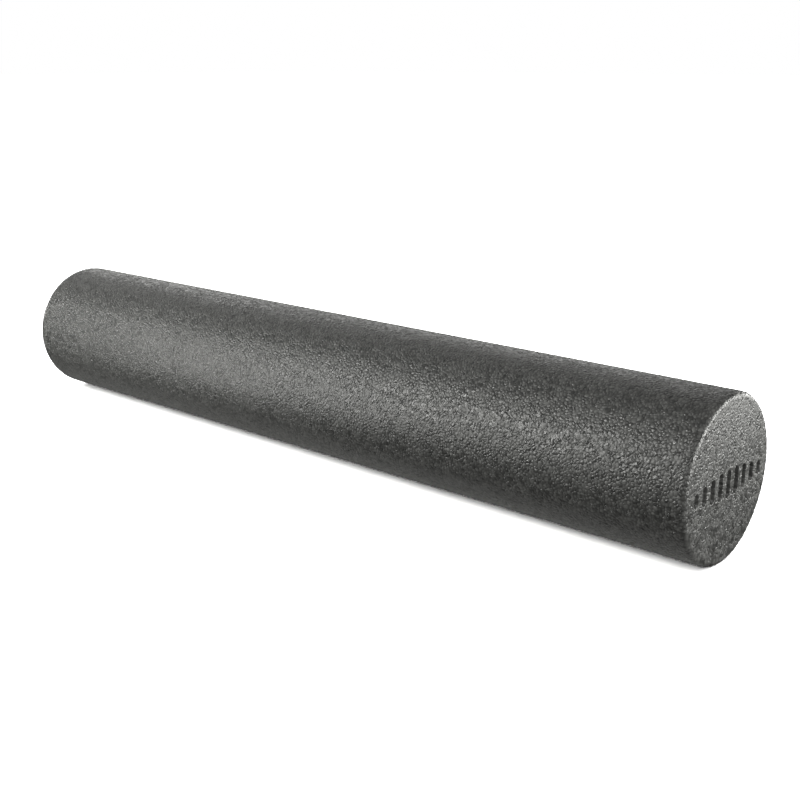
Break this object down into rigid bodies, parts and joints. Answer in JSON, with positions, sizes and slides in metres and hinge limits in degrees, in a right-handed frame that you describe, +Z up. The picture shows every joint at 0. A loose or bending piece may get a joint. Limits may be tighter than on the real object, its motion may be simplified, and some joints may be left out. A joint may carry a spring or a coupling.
{
  "type": "foam roller",
  "caption": "Full-round exercise and massage roller of moulded bead foam, with closed flat ends, softened end edges and a row of recessed slots on one end.",
  "frame": {"origin": "on the floor under the middle of the roller, which lies on its side", "axes": "+X along the roller's axis towards its marked end, +Z up, +Y to the right when the marked end is looked at"},
  "size_m": [0.9144, 0.1524, 0.1524],
  "materials": {
    "bead_foam": "charcoal expanded polypropylene bead foam, pebbled bead skin with a soft sheen and small sparkling beads"
  },
  "bodies": {
    "root": {"roller_body": "bead_foam"}
  },
  "joints": []
}
